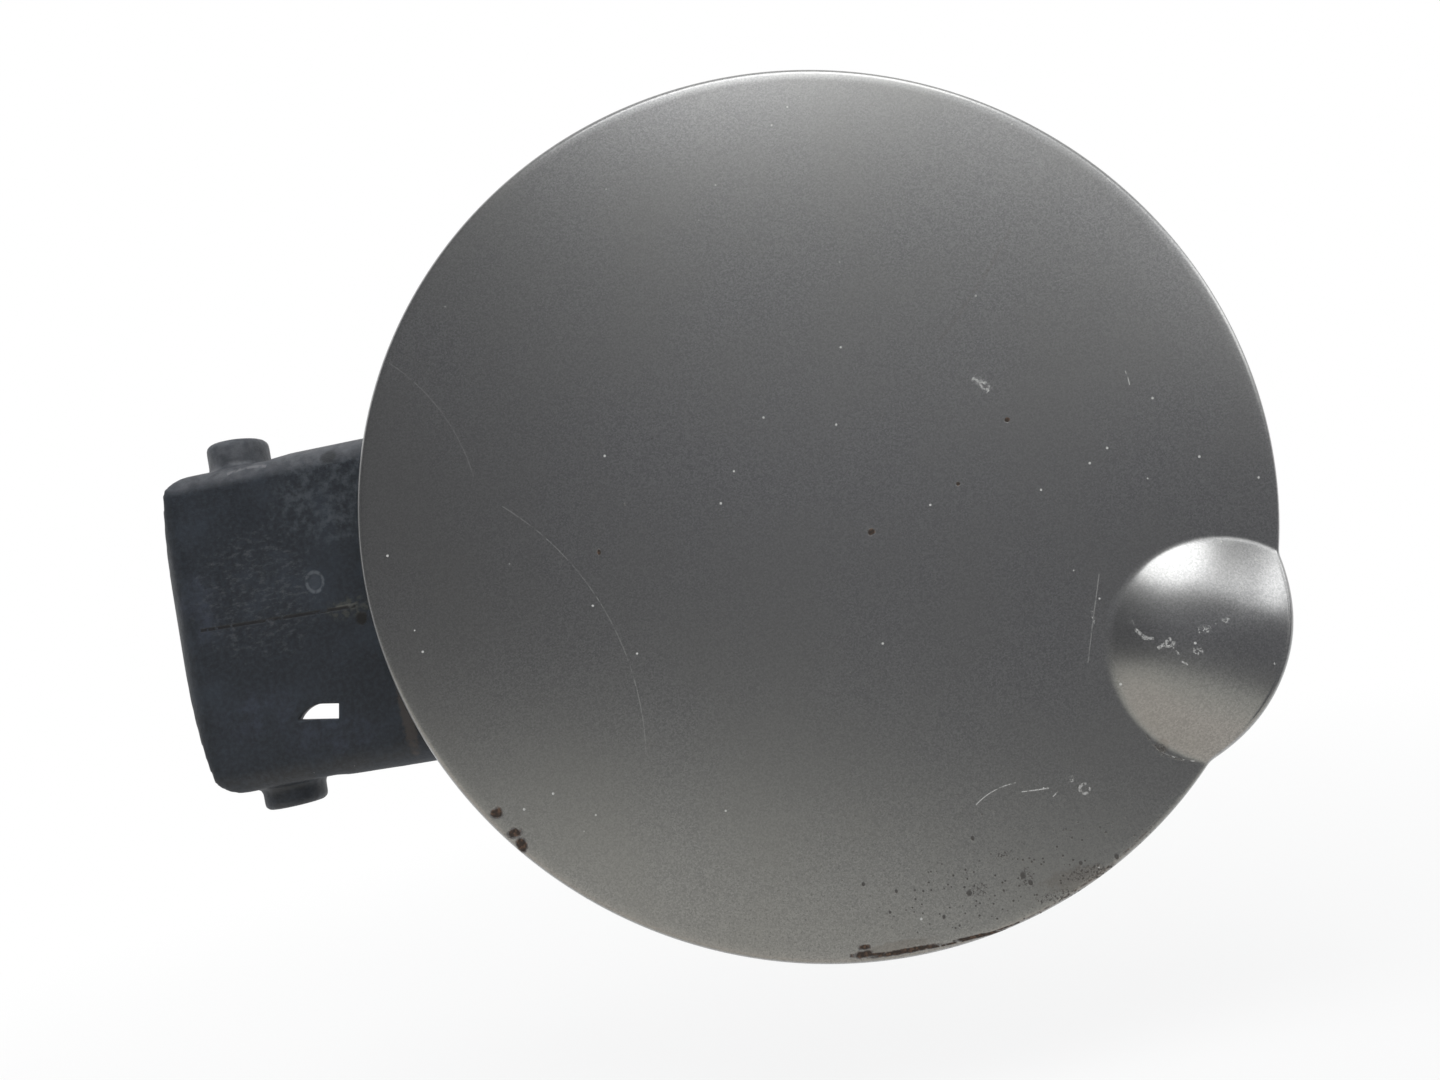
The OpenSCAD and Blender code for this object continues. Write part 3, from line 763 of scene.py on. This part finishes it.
def studio_world():
    w = bpy.data.worlds.new("studio")
    bpy.context.scene.world = w
    w.use_nodes = True
    t = w.node_tree
    t.nodes.clear()
    out = t.nodes.new("ShaderNodeOutputWorld")
    path = t.nodes.new("ShaderNodeLightPath")
    coords = t.nodes.new("ShaderNodeTexCoord")
    direction = vector_node(t, "NORMALIZE", coords.outputs["Generated"])
    along = split(t, direction)
    ramp = t.nodes.new("ShaderNodeValToRGB")
    els = ramp.color_ramp.elements
    while len(els) < len(SURROUND):
        els.new(0.5)
    for e, (p, c) in zip(els, SURROUND):
        e.position = p
        e.color = (*c, 1)
    # the bands lean down to the right, away from eye level
    lean = times(t, step(t, math_node(t, "ABSOLUTE", along["Z"]), 0.0, 0.24, 0.0, 0.43), along["X"])
    t.links.new(math_node(t, "MULTIPLY_ADD", plus(t, along["Z"], lean), 0.5, 0.5), ramp.inputs[0])
    # darker on the left and a little on the far right, except low down
    side = times(t, step(t, along["X"], -0.5, 0.1, 0.5, 1.0), step(t, along["X"], 0.3, 0.6, 1.0, 0.8))
    side = either(t, side, step(t, along["Z"], 0.02, -0.16))
    surround = scaled(t, ramp.outputs[0], side)
    flat = flattened(t, direction)
    strength = 0.0
    for x, z, half_x, half_z, bright in PANELS:
        far = vector_node(t, "DIVIDE", vector_node(t, "SUBTRACT", flat, (x, 0, z)), (half_x, 1, half_z))
        strength = plus(t, step(t, vector_node(t, "LENGTH", far), 1.25, 0.75, 0.0, bright), strength)
    lit = vector_node(t, "ADD", surround, scaled(t, (1, 1, 1), strength))
    # the surround is only in front of the object; every other side is the white background
    shown = mixed(t, step(t, along["Y"], -0.15, 0.15), lit, WHITE)
    looks = t.nodes.new("ShaderNodeBackground")
    put(t, looks.inputs[0], mixed(t, path.outputs["Is Camera Ray"], shown, WHITE))
    fill = t.nodes.new("ShaderNodeBackground")
    fill.inputs[0].default_value = FILL_COLOUR
    fill.inputs[1].default_value = FILL_STRENGTH
    mix_shaders(t, seen_rays(t, path), fill.outputs[0], looks.outputs[0], out.inputs[0])


def floor():
    below_the_object, half_size = 0.03, 6.0
    low = cad_box[0][2] - below_the_object
    bm = bmesh.new()
    bmesh.ops.create_grid(bm, x_segments=1, y_segments=1, size=half_size)
    bmesh.ops.translate(bm, verts=bm.verts, vec=(0, 0, low))
    m, t, b = new_material("pale_floor")
    b.inputs["Base Color"].default_value = (0.86, 0.86, 0.85, 1)
    b.inputs["Roughness"].default_value = 0.9
    glow = t.nodes.new("ShaderNodeEmission")
    glow.inputs[0].default_value = WHITE
    path = t.nodes.new("ShaderNodeLightPath")
    # the floor keeps a soft shadow round the object and is the plain background farther out
    away = vector_node(t, "DISTANCE", object_coords(t), (0.1, 0.05, low))
    share = step(t, away, 0.1, 0.45, 0.8, 1.0)
    mix_shaders(t, times(t, seen_rays(t, path), share), b.outputs[0], glow.outputs[0],
                t.nodes["Material Output"].inputs[0])
    ob = as_object(bm, "studio_floor", m, smooth=False)
    ob.visible_glossy = False


def soft_light(name, place, size, watts):
    d = bpy.data.lights.new(name, "AREA")
    d.shape = "RECTANGLE"
    d.size, d.size_y = size
    d.energy = watts
    o = bpy.data.objects.new(name, d)
    bpy.context.scene.collection.objects.link(o)
    o.location = place
    middle_of_object = Vector((0.1, -0.02, -0.04))
    o.rotation_euler = (middle_of_object - Vector(place)).to_track_quat("-Z", "Y").to_euler()
    o.visible_glossy = False


def photo_camera():
    """The camera that was fitted to the photograph."""
    cam = bpy.data.cameras.new("photo_camera")
    cam.lens = 27.5
    cam.sensor_width = 36.0
    cam.sensor_fit = "HORIZONTAL"
    cam.clip_start = 0.01
    ob = bpy.data.objects.new("photo_camera", cam)
    bpy.context.scene.collection.objects.link(ob)
    right = Vector((0.97974, 0.03626, -0.19696))
    up = Vector((0.19905, -0.06798, 0.97763))
    back = -Vector((-0.02206, 0.99703, 0.07382))
    m = Matrix((right, up, back)).transposed().to_4x4()
    m.translation = Vector((0.10281, -0.23062, -0.05427))
    ob.matrix_world = m
    bpy.context.scene.camera = ob


studio_world()
floor()
soft_light("overhead_softbox", (-0.1, -0.5, 0.9), (0.8, 0.6), 4.0)
soft_light("left_softbox", (-0.9, -0.4, 0.2), (0.5, 0.7), 1.0)
soft_light("back_softbox", (0.3, 0.9, 0.5), (0.8, 0.8), 3.0)
photo_camera()

view = bpy.context.scene.view_settings
view.view_transform = "Standard"
